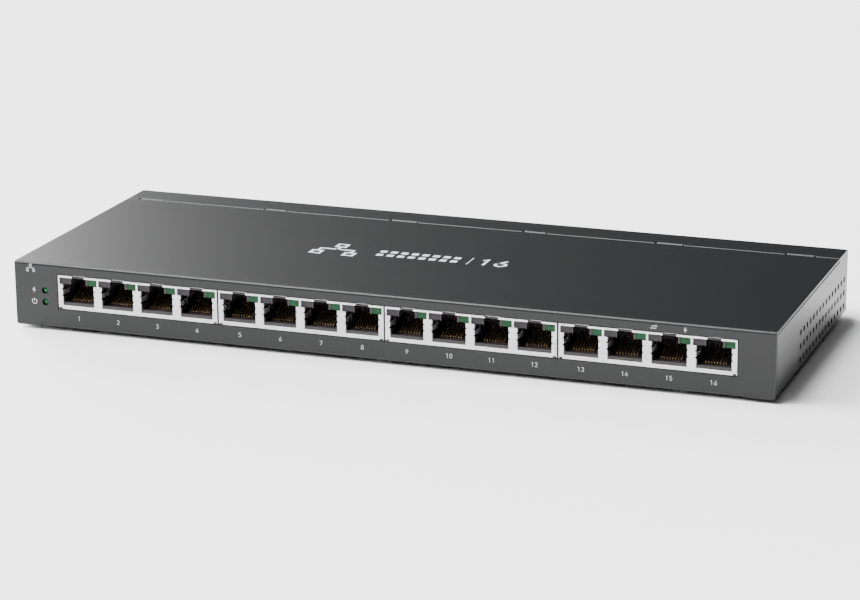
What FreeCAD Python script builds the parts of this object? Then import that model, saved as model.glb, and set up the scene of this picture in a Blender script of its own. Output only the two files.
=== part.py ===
import FreeCAD, Part
import os
import re
import Sketcher
from FreeCAD import Vector

# Desktop network switch: folded steel case, sixteen shielded sockets in four
# blocks of four, one circuit board.
# Working frame of every sub-part: X to the right, Y back from the front face,
# Z up from the underside of the case. Each body is then moved by half the depth
# and by the height of the feet, so the finished part stands on Z = 0.

GANGS = 4
PORTS_PER_GANG = 4
WIRES = 8
SHEET_NAME = "dims"

DIMENSIONS = [
    # case
    ("case_width", 286.0, "overall width"),
    ("case_depth", 111.7, "overall depth"),
    ("case_height", 24.0, "height of the steel case without feet"),
    ("steel", 0.8, "thickness of the case sheet"),
    ("bend", 1.0, "outside radius of the folds"),
    ("panel_gap", 0.4, "gap behind the front panel"),
    ("cover_depth", 97.0, "front face to the seam in the top"),
    ("seam_gap", 0.3, "open seam in the top"),
    ("strip_bevel", 0.5, "bevel along the front edge of the rear strip"),
    ("flange_half", 132.5, "half length of the fold under the front panel"),
    ("flange_depth", 8.4, "depth of that fold"),
    ("relief", 0.15, "width of the corner reliefs"),
    ("relief_height", 1.2, "height of the corner reliefs"),
    ("lid_gap", 0.3, "gap between the top plate and the side walls"),
    ("side_lip", 5.0, "width of the inward lip on the side walls"),
    ("tab_length", 7.0, "length of the lowered tabs under the top plate"),
    ("tab_slope", 1.6, "depth of the sloped part of a tab"),
    ("tab_notch", 0.8, "width of the notch at each end of a tab"),
    ("hook_width", 12.0, "width of the hooks under the top plate"),
    ("hook_x", 52.0, "hook centre from the middle"),
    ("hook_drop", 1.0, "how far the hooks hang below the top plate"),
    ("hook_reach", 6.0, "how far the hooks pass under the rear strip"),
    ("hook_play", 0.2, "gap between hook and rear strip"),
    ("screw_tab_width", 12.0, "width of the tabs that take the cover screws"),
    ("screw_tab_front", 2.0, "front edge of those tabs"),
    # ventilation holes
    ("vent_diameter", 2.4, "ventilation hole"),
    ("vent_first", 36.4, "first column, from the front"),
    ("vent_low", 3.6, "lowest row"),
    ("vent_pitch", 5.0, "spacing of the holes both ways"),
    # rear wall and underside
    ("lock_x", 62.0, "security slot centre"),
    ("lock_z", 12.0, "security slot height"),
    ("lock_length", 7.0, "security slot length"),
    ("lock_height", 3.0, "security slot height of opening"),
    ("key_x", 80.0, "wall hanging hole centre from the middle"),
    ("key_y", 56.0, "wall hanging hole centre from the front"),
    ("key_head", 8.4, "wall hanging hole diameter"),
    ("key_slot", 4.4, "width of the hanging slot"),
    ("key_travel", 8.0, "length of the hanging slot"),
    # feet
    ("foot_height", 1.4, "height of the rubber feet"),
    ("foot_diameter", 10.0, "diameter of the rubber feet"),
    ("foot_x", 124.0, "foot centre from the middle"),
    ("foot_front", 17.0, "front feet from the front face"),
    ("foot_rear", 98.0, "rear feet from the front face"),
    ("foot_round", 0.4, "rounding of the foot edge"),
    # socket blocks
    ("group_x", 2.0, "middle of the row of sockets"),
    ("gang_pitch", 63.9, "spacing of the blocks"),
    ("gang_width", 63.3, "width of one block over its shield"),
    ("port_pitch", 15.7, "spacing of the sockets in a block"),
    ("shield_low", 7.4, "underside of the shield face"),
    ("shield_high", 20.0, "top of the shield"),
    ("shield_front", 0.1, "shield face behind the front panel face"),
    ("shield_depth", 21.5, "depth of the shield"),
    ("tin", 0.25, "thickness of the shield"),
    ("opening_play", 0.35, "gap between shield and front panel opening"),
    ("window_half", 6.26, "half width of a socket window"),
    ("window_low", 8.8, "lower edge of a socket window"),
    ("lamp_low", 16.75, "lower edge of the lamp zone"),
    ("lamp_high", 19.25, "upper edge of the lamp zone"),
    ("lamp_half", 7.48, "half width of the lamp zone"),
    ("notch_half", 2.45, "half width of the latch notch"),
    ("corner_notch", 1.5, "length of the notch at the lower shield corners"),
    ("corner_rise", 0.6, "height of that notch"),
    ("tongue_depth", 5.0, "depth of the grounding tongue"),
    ("tongue_crest", 2.0, "depth at which the tongue stands out most"),
    ("tongue_bulge", 0.4, "how far the tongue stands into the socket"),
    ("tongue_low", 12.7, "lower edge of the grounding tongue"),
    ("tongue_high", 14.6, "upper edge of the grounding tongue"),
    ("slit", 0.45, "width and depth of the slits beside the tongue"),
    ("leg_width", 1.5, "width of the shield solder legs"),
    ("leg_front", 8.0, "front solder legs"),
    ("leg_spread", 8.0, "distance between front and rear legs"),
    ("leg_end", 4.6, "lower end of the solder legs"),
    # socket housings
    ("housing_low", 7.1, "underside of the housing"),
    ("housing_play", 0.05, "gap between housing and shield"),
    ("cavity_half", 5.95, "half width of the plug cavity"),
    ("lip", 9.9, "height of the front lip of the cavity"),
    ("cavity_end", 14.5, "rear wall of the plug cavity"),
    ("relief_half", 6.7, "half width of the recess behind the grounding tongues"),
    ("relief_end", 5.4, "depth of that recess"),
    ("latch_half", 2.95, "half width of the latch slot"),
    ("latch_end", 11.0, "depth of the latch slot"),
    ("notch_end", 0.9, "depth of the latch notch in the shield"),
    ("trench_high", 8.5, "top of the wire trench below the floor"),
    ("trench_end", 17.5, "rear end of the wire trench"),
    ("comb_half", 4.2, "half width of the wire comb"),
    ("comb_front", 2.85, "front of the slot where the wires come up"),
    ("comb_rear", 3.75, "rear of the slot where the wires come up"),
    # spring wires
    ("wire", 0.36, "thickness of a spring wire"),
    ("wire_pitch", 1.02, "spacing of the wires"),
    ("pivot_y", 3.3, "bend of the spring wires"),
    ("pivot_z", 10.3, "height of the bend"),
    ("arm_run", 8.6, "length of the spring arm along the socket"),
    ("arm_rise", 3.9, "rise of the spring arm"),
    ("tail_level", 7.5, "level of the wires below the floor"),
    ("tail_front_row", 13.0, "front row of solder pins"),
    ("tail_rear_row", 15.5, "rear row of solder pins"),
    ("tail_end", 4.5, "lower end of the solder pins"),
    # lamps beside the latch
    ("lamp_outer", 7.42, "outer edge of a lamp from the socket centre"),
    ("left_inner", 3.5, "inner edge of the left lamp"),
    ("right_inner", 3.75, "inner edge of the right lamp"),
    ("lamp_bottom", 16.85, "lower edge of a lamp"),
    ("lamp_top", 19.2, "upper edge of a lamp"),
    ("lamp_face", 0.5, "lamp face behind the panel face"),
    ("lamp_end", 5.5, "rear end of a lamp"),
    ("lamp_round", 0.6, "rounding of the lower inner edge of a lamp"),
    # status lamps
    ("status_x", -130.9, "status lamp centre"),
    ("status_high", 13.7, "upper status lamp"),
    ("status_low", 9.3, "lower status lamp"),
    ("status_hole", 2.5, "hole in the front panel"),
    ("status_lamp", 2.1, "diameter of a status lamp"),
    ("status_dome", 0.9, "rounding of the lamp end"),
    ("status_end", 6.0, "rear end of a status lamp"),
    ("holder_half", 2.2, "half width of the lamp holder"),
    ("holder_front", 1.3, "front of the lamp holder"),
    ("holder_end", 7.5, "rear of the lamp holder"),
    ("holder_top", 15.8, "top of the lamp holder"),
    # circuit board and its fixings
    ("board_half", 137.0, "half width of the board"),
    ("board_front", 1.6, "front edge of the board"),
    ("board_rear", 108.8, "rear edge of the board"),
    ("board_low", 5.2, "underside of the board"),
    ("board_high", 6.8, "top of the board"),
    ("post_x", 125.0, "standoff columns from the middle"),
    ("post_front", 24.6, "front row of standoffs"),
    ("post_rear", 101.0, "rear row of standoffs"),
    ("post_diameter", 5.6, "standoff diameter"),
    ("thread", 3.0, "screw thread diameter"),
    ("thread_play", 0.06, "gap round a screw thread"),
    ("clearance", 3.4, "clearance hole for a screw"),
    ("head_diameter", 5.2, "screw head diameter"),
    ("head_height", 1.2, "screw head height"),
    ("cross_length", 2.8, "length of the cross recess"),
    ("cross_width", 0.6, "width of the cross recess"),
    ("cross_depth", 0.7, "depth of the cross recess"),
    ("countersink", 5.2, "diameter of the countersunk heads"),
    ("cover_screw_x", 108.0, "outer cover screws from the middle"),
    ("cover_screw_y", 5.0, "cover screws from the front face"),
    ("cover_screw_end", 4.0, "upper end of the cover screws"),
    ("film", 0.25, "thickness of the insulating film"),
    ("film_half", 131.0, "half width of the film"),
    ("film_front", 13.0, "front edge of the film"),
    ("film_rear", 106.0, "rear edge of the film"),
    ("film_hole", 8.0, "holes in the film round the standoffs"),
    # power inlet
    ("inlet_x", -108.0, "power inlet centre"),
    ("inlet_z", 12.8, "power inlet height"),
    ("inlet_half", 4.6, "half width of the inlet body"),
    ("inlet_top", 18.2, "top of the inlet body"),
    ("inlet_front", 98.0, "inner end of the inlet body"),
    ("inlet_face", 111.6, "outer face of the inlet body"),
    ("inlet_play", 0.2, "gap between inlet body and rear wall"),
    ("inlet_bore", 6.4, "bore of the inlet"),
    ("inlet_floor", 101.5, "inner end of the bore"),
    ("pin_diameter", 2.1, "centre pin"),
    ("pin_tip", 110.6, "outer end of the centre pin"),
    ("leaf_half", 1.4, "half width of the spring leaf"),
    ("leaf_low", 8.7, "level of the spring leaf"),
    ("leaf_sheet", 0.3, "thickness of the spring leaf"),
    ("leaf_root", 100.0, "bend of the spring leaf"),
    ("leaf_tip", 109.6, "free end of the spring leaf"),
    ("leaf_rise", 0.9, "rise of the leaf into the bore"),
    ("terminal_half", 1.3, "half width of a solder terminal"),
    ("terminal_sheet", 0.8, "thickness of a solder terminal"),
    ("terminal_end", 4.2, "lower end of the terminals"),
    ("terminal_first", 99.5, "first terminal"),
    ("terminal_step", 5.6, "distance between the terminals"),
    # earth terminal
    ("earth_x", 112.0, "earth screw centre"),
    ("earth_z", 12.0, "earth screw height"),
    ("earth_thread", 4.0, "earth screw thread"),
    ("earth_head", 7.6, "earth screw head"),
    ("earth_head_height", 2.4, "earth screw head height"),
    ("earth_nut", 8.0, "boss behind the rear wall"),
    ("earth_nut_height", 2.4, "height of that boss"),
    ("washer_diameter", 9.0, "washer diameter"),
    ("washer_height", 0.8, "washer thickness"),
    ("recess_depth", 3.6, "depth of the earth terminal recess"),
    ("recess_half", 6.5, "half size of the earth terminal recess"),
    # parts on the board
    ("chip_x", 2.0, "main chip centre"),
    ("chip_y", 68.0, "main chip from the front"),
    ("chip_half", 11.5, "half size of the main chip"),
    ("chip_height", 1.8, "height of the main chip"),
    ("pad_half", 10.0, "half size of the thermal pad"),
    ("pad_height", 0.5, "height of the thermal pad"),
    ("sink_half", 19.0, "half size of the heat sink"),
    ("sink_base", 2.0, "heat sink base"),
    ("sink_height", 9.0, "heat sink height"),
    ("fin", 1.0, "fin thickness"),
    ("fin_pitch", 4.625, "fin spacing"),
    ("magnetics_half", 13.6, "half length of a transformer module"),
    ("magnetics_front", 29.5, "front of the transformer modules"),
    ("magnetics_width", 15.0, "width of a transformer module"),
    ("magnetics_height", 5.8, "height of a transformer module"),
    ("driver_half", 5.0, "half size of a power controller chip"),
    ("driver_y", 56.0, "power controllers from the front"),
    ("driver_x", 64.0, "power controllers from the middle"),
    ("driver_height", 1.0, "height of a power controller"),
    ("coil_half", 6.3, "half size of an inductor"),
    ("coil_height", 6.5, "height of an inductor"),
    ("coil_y", 82.0, "inductors from the front"),
    ("coil_x", -56.0, "first inductor"),
    ("coil_step", 18.0, "distance between the inductors"),
    ("can_diameter", 10.0, "capacitor diameter"),
    ("can_height", 13.0, "capacitor height"),
    ("can_x", -98.0, "first capacitor"),
    ("can_y", 84.0, "capacitors from the front"),
    ("can_step", 13.0, "distance between capacitors"),
    ("can_round", 0.7, "rounding of the capacitor top"),
    ("crystal_x", 30.0, "crystal centre"),
    ("crystal_y", 60.0, "crystal from the front"),
    ("crystal_length", 11.0, "crystal length"),
    ("crystal_width", 4.6, "crystal width"),
    ("crystal_height", 3.4, "crystal height"),
    ("memory_x", 30.0, "memory chip centre"),
    ("memory_y", 74.0, "memory chip from the front"),
    ("memory_half", 2.7, "half size of the memory chip"),
    ("memory_height", 1.7, "height of the memory chip"),
    ("chip_part_length", 2.0, "length of a small chip part"),
    ("chip_part_width", 1.25, "width of a small chip part"),
    ("resistor_height", 0.5, "height of a small resistor"),
    ("ceramic_height", 1.2, "height of a small ceramic capacitor"),
    ("small_pitch", 7.85, "spacing of the small chip parts"),
    ("resistor_y", 47.0, "row of small resistors"),
    ("ceramic_y", 92.0, "row of small ceramic capacitors"),
    ("ceramic_x", 30.0, "first small ceramic capacitor"),
]

# Centre and width of each lowered tab along the seam in the top.
SEAM_TABS = [(-133.1, 9.8), (-80.2, 8.2), (-26.8, 10.0), (26.0, 8.2), (78.6, 9.8), (128.4, 10.0)]

ALIASES = {name for name, value, note in DIMENSIONS}
DOC = FreeCAD.newDocument("network_switch")
FINISHED = []


def make_sheet():
    """Driving dimensions, one named cell per row."""
    sheet = DOC.addObject("Spreadsheet::Sheet", SHEET_NAME)
    for row, (name, value, note) in enumerate(DIMENSIONS, start=1):
        sheet.set(f"A{row}", note)
        sheet.set(f"B{row}", str(value))
        sheet.setAlias(f"B{row}", name)
    DOC.recompute()


def rule(text):
    """Expression with every dimension name pointed at the sheet."""
    return re.sub(r"[a-z_]+", lambda m: f"{SHEET_NAME}.{m[0]}" if m[0] in ALIASES else m[0], str(text))


def bind(thing, prop, text):
    thing.setExpression(prop, rule(text))


def new_body(label, x="0", y="0"):
    """Empty body standing in the finished part's frame."""
    body = DOC.addObject("PartDesign::Body", label)
    body.Label = label
    body.AllowCompound = True
    bind(body, "Placement.Base.x", x)
    bind(body, "Placement.Base.y", f"{y} - case_depth / 2")
    bind(body, "Placement.Base.z", "foot_height")
    FINISHED.append(body)
    return body


def origin_item(body, role):
    return [item for item in body.Origin.OriginFeatures if item.Role == role][0]


def new_sketch(body, name, plane, level):
    drawing = body.newObject("Sketcher::SketchObject", name + "_sketch")
    drawing.AttachmentSupport = [(origin_item(body, plane), "")]
    drawing.MapMode = "FlatFace"
    sign = "-" if plane == "XZ_Plane" else ""
    bind(drawing, "AttachmentOffset.Base.z", f"{sign}({level})")
    return drawing


def locate(drawing, line, point, across, up):
    """Fix one point of a sketch at two expressions."""
    for kind, text in (("DistanceX", across), ("DistanceY", up)):
        index = drawing.addConstraint(Sketcher.Constraint(kind, line, point, 1.0))
        bind(drawing, f"Constraints[{index}]", text)


def draw_outline(drawing, corners):
    """Closed outline through corners given as pairs of expressions."""
    first = drawing.GeometryCount
    count = len(corners)
    ring = [Vector(1, 0, 0), Vector(0, 1, 0), Vector(-1, 0, 0), Vector(0, -1, 0)]
    for step in range(count):
        start = ring[step % 4] * (1 + step)
        end = ring[(step + 1) % 4] * (2 + step)
        drawing.addGeometry(Part.LineSegment(start, end))
    for step in range(count):
        following = first + (step + 1) % count
        drawing.addConstraint(Sketcher.Constraint("Coincident", first + step, 2, following, 1))
    for step, (across, up) in enumerate(corners):
        locate(drawing, first + step, 1, across, up)


def draw_circle(drawing, across, up, diameter):
    index = drawing.addGeometry(Part.Circle(Vector(0, 0, 0), Vector(0, 0, 1), 1.0))
    locate(drawing, index, 3, across, up)
    size = drawing.addConstraint(Sketcher.Constraint("Diameter", index, 2.0))
    bind(drawing, f"Constraints[{size}]", diameter)


def draw_rectangle(drawing, left, right, low, high):
    draw_outline(drawing, [(left, low), (right, low), (right, high), (left, high)])


def pad(body, name, drawing, length):
    """Material from the sketch plane towards the positive axis."""
    feature = body.newObject("PartDesign::Pad", name)
    feature.Profile = drawing
    bind(feature, "Length", length)
    feature.Reversed = drawing.AttachmentSupport[0][0].Role == "XZ_Plane"
    body.Tip = feature
    DOC.recompute([drawing, feature, body])
    return feature


def pocket(body, name, drawing, length):
    """Cut from the sketch plane towards the positive axis."""
    before = body.Shape.Volume
    feature = body.newObject("PartDesign::Pocket", name)
    feature.Profile = drawing
    bind(feature, "Length", length)
    feature.Reversed = drawing.AttachmentSupport[0][0].Role != "XZ_Plane"
    body.Tip = feature
    DOC.recompute([drawing, feature, body])
    if feature.Shape.Volume >= before - 1e-6:
        raise ValueError(f"{name} removes nothing")
    return feature


def block(body, name, x, y, z):
    """Rectangular block between three pairs of expressions."""
    drawing = new_sketch(body, name, "XY_Plane", z[0])
    draw_rectangle(drawing, x[0], x[1], y[0], y[1])
    return pad(body, name, drawing, f"({z[1]}) - ({z[0]})")


def cut_block(body, name, x, y, z):
    drawing = new_sketch(body, name, "XY_Plane", z[0])
    draw_rectangle(drawing, x[0], x[1], y[0], y[1])
    return pocket(body, name, drawing, f"({z[1]}) - ({z[0]})")


def round_bar(body, name, plane, across, up, diameter, start, end):
    drawing = new_sketch(body, name, plane, start)
    draw_circle(drawing, across, up, diameter)
    return pad(body, name, drawing, f"({end}) - ({start})")


def drill(body, name, plane, across, up, diameter, start, end):
    drawing = new_sketch(body, name, plane, start)
    draw_circle(drawing, across, up, diameter)
    return pocket(body, name, drawing, f"({end}) - ({start})")


def spin(body, name, across, back, corners, cut=False):
    """Turned shape round an upright axis, from pairs of radius and height."""
    drawing = new_sketch(body, name, "XZ_Plane", back)
    bind(drawing, "AttachmentOffset.Base.x", across)
    draw_outline(drawing, corners)
    feature = body.newObject("PartDesign::Groove" if cut else "PartDesign::Revolution", name)
    feature.Profile = drawing
    feature.ReferenceAxis = (drawing, ["V_Axis"])
    feature.Angle = 360.0
    body.Tip = feature
    DOC.recompute([drawing, feature, body])
    return feature


def repeat(body, feature, first, second=None):
    """Row or grid of copies; each direction is (axis, step, count)."""
    pattern = body.newObject("PartDesign::LinearPattern", feature.Name + "_row")
    pattern.Originals = [feature]
    pattern.Direction = (origin_item(body, first[0]), [""])
    bind(pattern, "Length", f"({first[1]}) * {first[2] - 1}")
    pattern.Occurrences = first[2]
    if second:
        pattern.Direction2 = (origin_item(body, second[0]), [""])
        bind(pattern, "Length2", f"({second[1]}) * {second[2] - 1}")
        pattern.Occurrences2 = second[2]
    body.Tip = pattern
    DOC.recompute([pattern, body])
    return pattern


def round_edges(body, name, radius, chosen):
    base = body.Tip
    names = [f"Edge{n}" for n, edge in enumerate(base.Shape.Edges, start=1) if chosen(edge.BoundBox)]
    fillet = body.newObject("PartDesign::Fillet", name)
    fillet.Base = (base, names)
    bind(fillet, "Radius", radius)
    body.Tip = fillet
    DOC.recompute([fillet, body])
    return fillet


def near(value, target):
    return abs(value - target) < 1e-3


def size_of(name):
    return float(DOC.getObject(SHEET_NAME).get(name))


def lies_at(box, y=None, z=None):
    """True for an edge that stays at the given Y and Z."""
    flat_y = y is None or (near(box.YMin, y) and near(box.YMax, y))
    flat_z = z is None or (near(box.ZMin, z) and near(box.ZMax, z))
    return flat_y and flat_z


def gang_centre(gang):
    return f"group_x + ({gang - (GANGS - 1) / 2}) * gang_pitch"


FIRST_PORT = "-1.5 * port_pitch"


# ---------------------------------------------------------------- steel case

def build_front_cover():
    """Front panel, top plate and the short fold under the front edge."""
    body = new_body("front_cover")
    half = "case_width / 2"
    block(body, "front_panel", (f"-{half}", half), ("0", "steel"), ("relief_height", "case_height"))
    block(body, "top_plate", (f"-{half}", half), ("0", "cover_depth"), ("case_height - steel", "case_height"))
    block(body, "front_foot", ("-flange_half", "flange_half"), ("0", "steel"), ("0", "relief_height"))
    block(body, "left_corner", (f"-{half}", "-flange_half - relief"), ("0", "steel"), ("0", "relief_height"))
    block(body, "right_corner", ("flange_half + relief", half), ("0", "steel"), ("0", "relief_height"))
    block(body, "bottom_fold", ("-flange_half", "flange_half"), ("0", "flange_depth"), ("0", "steel"))
    height = size_of("case_height")
    fold = size_of("flange_half")
    round_edges(body, "top_bend", "bend", lambda box: lies_at(box, 0, height) and box.XLength > fold)
    round_edges(body, "bottom_bend", "bend", lambda box: lies_at(box, 0, 0) and box.XLength > fold)
    side = size_of("case_width") / 2
    round_edges(body, "lower_corners", "bend",
                lambda box: near(abs(box.Center.x), side) and near(box.ZMax, 0) and box.YLength > 0.5)
    reach = "1.5 * gang_pitch + gang_width / 2 + opening_play"
    cut_block(body, "socket_opening", (f"group_x - ({reach})", f"group_x + {reach}"), ("-1", "steel + 1"),
              ("shield_low - opening_play", "shield_high + opening_play"))
    lamps = drill(body, "status_hole_cut", "XZ_Plane", "status_x", "status_low", "status_hole", "-1",
                  "steel + 1")
    repeat(body, lamps, ("Z_Axis", "status_high - status_low", 2))
    before = body.Shape.Volume
    screws = spin(body, "countersinks", "-cover_screw_x", "cover_screw_y", [
        ("0", "0"), ("countersink / 2 + 0.1", "0"), ("thread / 2 + 0.1", "steel"), ("0", "steel")], cut=True)
    if body.Shape.Volume >= before:
        raise ValueError("the countersinks remove nothing")
    repeat(body, screws, ("X_Axis", "cover_screw_x", 3))
    under = "case_height - steel"
    root = block(body, "hook_root", ("-hook_x - hook_width / 2", "-hook_x + hook_width / 2"),
                 ("cover_depth - hook_reach", "cover_depth - seam_gap"), (f"{under} - hook_drop", under))
    repeat(body, root, ("X_Axis", "2 * hook_x", 2))
    tongue = block(body, "hook_tongue", ("-hook_x - hook_width / 2", "-hook_x + hook_width / 2"),
                   ("cover_depth - 1", "cover_depth + hook_reach"),
                   (f"{under} - hook_drop", f"{under} - hook_play"))
    repeat(body, tongue, ("X_Axis", "2 * hook_x", 2))


def build_seam_tab(body, number, centre, width):
    """Lowered tab of the rear strip, with a notch at each end."""
    left = centre - width / 2
    start = "cover_depth + seam_gap"
    under = "case_height - steel"
    cut_block(body, f"tab_gap_{number}", (f"{left} - tab_notch", f"{left + width} + tab_notch"),
              (f"{start} - 1", f"{start} + tab_slope"), (f"{under} - 0.1", "case_height + 1"))
    drawing = new_sketch(body, f"tab_{number}", "YZ_Plane", left)
    draw_outline(drawing, [
        (f"{start} + tab_slope + 0.2", "case_height"),
        (f"{start} + tab_slope", "case_height"),
        (start, under),
        ("cover_depth - tab_length", under),
        ("cover_depth - tab_length", f"{under} - steel"),
        (f"{start} + 0.1", f"{under} - steel"),
        (f"{start} + tab_slope + 0.2", under),
    ])
    pad(body, f"tab_{number}", drawing, width)


def build_base_chassis():
    """Floor, side walls, rear wall and rear strip of the top."""
    body = new_body("base_chassis")
    half = "case_width / 2"
    front = "steel + panel_gap"
    wall_top = "case_height - steel - lid_gap"
    block(body, "tray", (f"-{half}", half), (front, "case_depth"), ("0", wall_top))
    cut_block(body, "tray_inside", (f"-({half} - steel)", f"{half} - steel"),
              ("-1", "case_depth - steel"), ("steel", "case_height"))
    block(body, "rear_wall", (f"-{half}", half), ("case_depth - steel", "case_depth"),
          (wall_top, "case_height"))
    seam = "cover_depth + seam_gap"
    block(body, "rear_strip", (f"-{half}", half), (seam, "case_depth"),
          ("case_height - steel", "case_height"))
    for name, left, right in (("left", f"-{half}", f"-{half} + steel"), ("right", f"{half} - steel", half)):
        block(body, f"{name}_rise", (left, right), (seam, "case_depth"), (wall_top, "case_height"))
    for name, left, right in (("left", f"-{half}", f"-{half} + side_lip"),
                              ("right", f"{half} - side_lip", half)):
        block(body, f"{name}_lip", (left, right), ("4 * steel", "cover_depth - tab_length - 1"),
              (f"{wall_top} - steel", wall_top))
    cut_block(body, "front_clearance", ("-flange_half - relief", "flange_half + relief"),
              ("-1", "flange_depth + seam_gap"), ("-1", "steel"))
    for number, (centre, width) in enumerate(SEAM_TABS, start=1):
        build_seam_tab(body, number, centre, width)
    tab = block(body, "screw_tab",
                ("-cover_screw_x - screw_tab_width / 2", "-cover_screw_x + screw_tab_width / 2"),
                ("screw_tab_front", "flange_depth + seam_gap + steel"), ("steel", "2 * steel"))
    repeat(body, tab, ("X_Axis", "cover_screw_x", 3))
    thread = drill(body, "screw_thread", "XY_Plane", "-cover_screw_x", "cover_screw_y", "thread", "0",
                   "3 * steel")
    repeat(body, thread, ("X_Axis", "cover_screw_x", 3))
    depth = size_of("case_depth")
    side = size_of("case_width") / 2
    round_edges(body, "floor_bends", "bend",
                lambda box: near(box.ZMin, 0) and near(box.ZMax, 0)
                and ((near(box.YMin, depth) and near(box.YMax, depth)) or near(abs(box.Center.x), side)))
    height = size_of("case_height")
    round_edges(body, "rear_bend", "bend", lambda box: lies_at(box, depth, height) and box.XLength > side)
    wall = height - size_of("steel") - size_of("lid_gap")
    round_edges(body, "side_bends", "bend * 0.7",
                lambda box: lies_at(box, None, wall) and near(abs(box.Center.x), side) and box.YLength > 50)
    bevel = new_sketch(body, "strip_bevel_cut", "YZ_Plane", f"-{half} - 1")
    draw_outline(bevel, [(f"{seam} - 1", "case_height - strip_bevel - 1"),
                         (f"{seam} + strip_bevel + 1", "case_height + 1"),
                         (f"{seam} - 1", "case_height + 1")])
    pocket(body, "strip_bevel_cut", bevel, "case_width + 2")
    build_rear_openings(body)
    build_key_holes(body)
    vents = drill(body, "vent", "YZ_Plane", "vent_first", "vent_low", "vent_diameter", "-case_width",
                  "case_width")
    repeat(body, vents, ("Y_Axis", "vent_pitch", 15), ("Z_Axis", "vent_pitch", 3))


def build_rear_openings(body):
    """Power inlet opening, security slot and recessed earth terminal."""
    wall = ("case_depth - steel - 0.5", "case_depth + 1")
    cut_block(body, "inlet_opening",
              ("inlet_x - inlet_half - inlet_play", "inlet_x + inlet_half + inlet_play"),
              wall, ("board_high - 0.1", "inlet_top + inlet_play"))
    cut_block(body, "lock_slot", ("lock_x - lock_length / 2", "lock_x + lock_length / 2"), wall,
              ("lock_z - lock_height / 2", "lock_z + lock_height / 2"))
    x = ("earth_x - recess_half - steel", "earth_x + recess_half + steel")
    z = ("earth_z - recess_half * 0.6 - steel", "earth_z + recess_half * 0.9 + steel")
    block(body, "earth_box", x, ("case_depth - recess_depth - steel", "case_depth - steel / 2"), z)
    cut_block(body, "earth_recess", ("earth_x - recess_half", "earth_x + recess_half"),
              ("case_depth - recess_depth", "case_depth + 1"),
              ("earth_z - recess_half * 0.6", "earth_z + recess_half * 0.9"))
    inner = "case_depth - recess_depth - steel"
    round_bar(body, "earth_boss", "XZ_Plane", "earth_x", "earth_z + 0.9", "earth_nut",
              f"{inner} - earth_nut_height", inner)
    drill(body, "earth_thread_hole", "XZ_Plane", "earth_x", "earth_z + 0.9", "earth_thread",
          f"{inner} - earth_nut_height - 1", "case_depth")


def build_key_holes(body):
    """Two keyhole openings in the floor for hanging on wall screws."""
    head = drill(body, "key_head_hole", "XY_Plane", "-key_x", "key_y", "key_head", "-1", "steel")
    repeat(body, head, ("X_Axis", "2 * key_x", 2))
    slot = cut_block(body, "key_slot_cut", ("-key_x - key_slot / 2", "-key_x + key_slot / 2"),
                     ("key_y - key_travel", "key_y"), ("-1", "steel"))
    repeat(body, slot, ("X_Axis", "2 * key_x", 2))
    end = drill(body, "key_end", "XY_Plane", "-key_x", "key_y - key_travel", "key_slot", "-1", "steel")
    repeat(body, end, ("X_Axis", "2 * key_x", 2))


def build_feet():
    corners = [("front_left", "-foot_x", "foot_front"), ("front_right", "foot_x", "foot_front"),
               ("rear_left", "-foot_x", "foot_rear"), ("rear_right", "foot_x", "foot_rear")]
    for name, x, y in corners:
        body = new_body(f"foot_{name}", x, y)
        round_bar(body, "pad_of_rubber", "XY_Plane", "0", "0", "foot_diameter", "-foot_height", "0")
        low = -size_of("foot_height")
        round_edges(body, "soft_edge", "foot_round", lambda box: lies_at(box, None, low))


# ------------------------------------------------------------------ fixings

def cut_cross(body, name, plane, across, up, start, end):
    """Cross recess as two crossed slots."""
    for way, wide, tall in (("a", "cross_length", "cross_width"), ("b", "cross_width", "cross_length")):
        drawing = new_sketch(body, f"{name}_{way}", plane, start)
        draw_rectangle(drawing, f"{across} - {wide} / 2", f"{across} + {wide} / 2",
                       f"{up} - {tall} / 2", f"{up} + {tall} / 2")
        pocket(body, f"{name}_{way}", drawing, f"({end}) - ({start})")
        yield body.Tip


def build_cover_screws():
    """Three countersunk screws holding the cover from below."""
    body = new_body("cover_screws")
    at = ("-cover_screw_x", "cover_screw_y")
    radius = "(thread - thread_play) / 2"
    screw = spin(body, "screw", *at, [
        ("0", "0.02"), ("countersink / 2", "0.02"), (radius, "steel"), (radius, "cover_screw_end"),
        ("0", "cover_screw_end")])
    repeat(body, screw, ("X_Axis", "cover_screw_x", 3))
    for cut in cut_cross(body, "cross", "XY_Plane", at[0], at[1], "-1", "cross_depth"):
        repeat(body, cut, ("X_Axis", "cover_screw_x", 3))


def build_standoffs():
    body = new_body("board_standoffs")
    post = round_bar(body, "post", "XY_Plane", "-post_x", "post_front", "post_diameter", "steel", "board_low")
    grid = (("X_Axis", "post_x", 3), ("Y_Axis", "post_rear - post_front", 2))
    repeat(body, post, *grid)
    hole = drill(body, "post_thread", "XY_Plane", "-post_x", "post_front", "thread", "steel + 0.6",
                 "board_low + 1")
    repeat(body, hole, *grid)


def build_board_screws():
    body = new_body("board_screws")
    grid = (("X_Axis", "post_x", 3), ("Y_Axis", "post_rear - post_front", 2))
    top = "board_high + head_height"
    head = round_bar(body, "head", "XY_Plane", "-post_x", "post_front", "head_diameter", "board_high", top)
    repeat(body, head, *grid)
    shank = round_bar(body, "shank", "XY_Plane", "-post_x", "post_front", "thread - thread_play",
                      "steel + 1.2", "board_high")
    repeat(body, shank, *grid)
    for cut in cut_cross(body, "cross", "XY_Plane", "-post_x", "post_front", f"{top} - cross_depth",
                         f"{top} + 1"):
        repeat(body, cut, *grid)


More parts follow.
